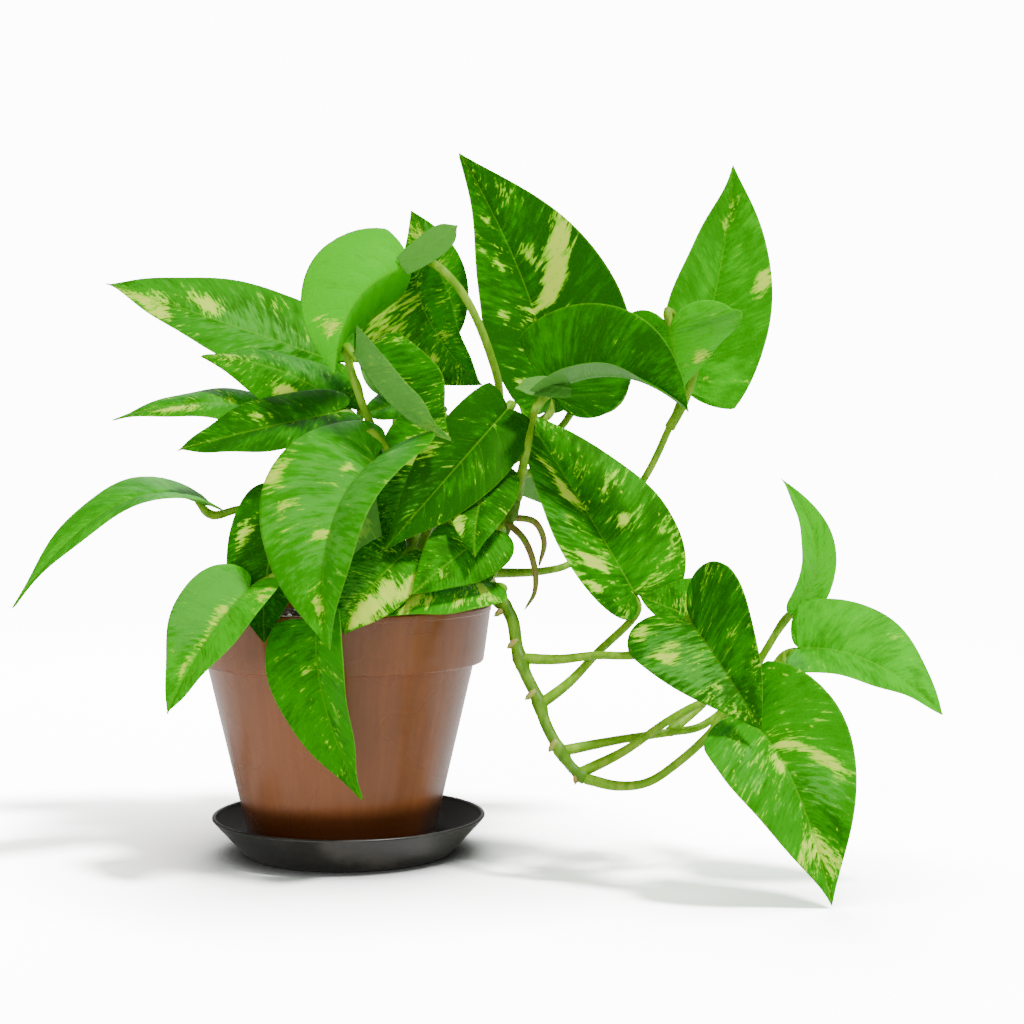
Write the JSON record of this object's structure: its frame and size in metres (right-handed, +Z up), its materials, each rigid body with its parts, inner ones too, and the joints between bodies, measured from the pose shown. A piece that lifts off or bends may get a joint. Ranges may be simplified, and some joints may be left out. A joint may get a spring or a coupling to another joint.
{
  "type": "potted pothos plant",
  "caption": "Trailing houseplant with large variegated heart-shaped leaves in a tapered plastic pot on a saucer; one vine hangs over the rim and spreads to the side.",
  "frame": {"origin": "on the pot's axis, in the flat underside of the saucer", "axes": "+Z up along the pot's axis, +X towards the side where the vine hangs out, -Y towards the viewer of the picture"},
  "size_m": [0.3534, 0.199, 0.29],
  "materials": {
    "saucer": "satin charcoal plastic",
    "pot": "glossy brown plastic",
    "soil": "loose dark potting soil",
    "stem": "smooth living stem",
    "leaf": "waxy living leaf with cream and yellow-green flecks"
  },
  "bodies": {
    "root": {"saucer": "saucer", "pot": "pot", "soil": "soil", "stem_left": "stem", "stem_front": "stem", "stem_centre": "stem", "stem_right": "stem", "stem_vine": "stem", "stem_back": "stem", "leaf_01": "leaf", "leaf_02": "leaf", "leaf_03": "leaf", "leaf_04": "leaf", "leaf_05": "leaf", "leaf_06": "leaf", "leaf_07": "leaf", "leaf_08": "leaf", "leaf_09": "leaf", "leaf_10": "leaf", "leaf_11": "leaf", "leaf_12": "leaf", "leaf_13": "leaf", "leaf_14": "leaf", "leaf_15": "leaf", "leaf_16": "leaf", "leaf_17": "leaf", "leaf_18": "leaf", "leaf_19": "leaf", "leaf_20": "leaf", "leaf_21": "leaf", "leaf_22": "leaf", "leaf_23": "leaf", "leaf_24": "leaf", "leaf_25": "leaf", "leaf_26": "leaf", "leaf_27": "leaf", "leaf_28": "leaf", "leaf_29": "leaf", "leaf_30": "leaf", "leaf_31": "leaf", "leaf_32": "leaf", "leaf_33": "leaf", "leaf_34": "leaf", "leaf_35": "leaf", "leaf_36": "leaf"}
  },
  "joints": []
}
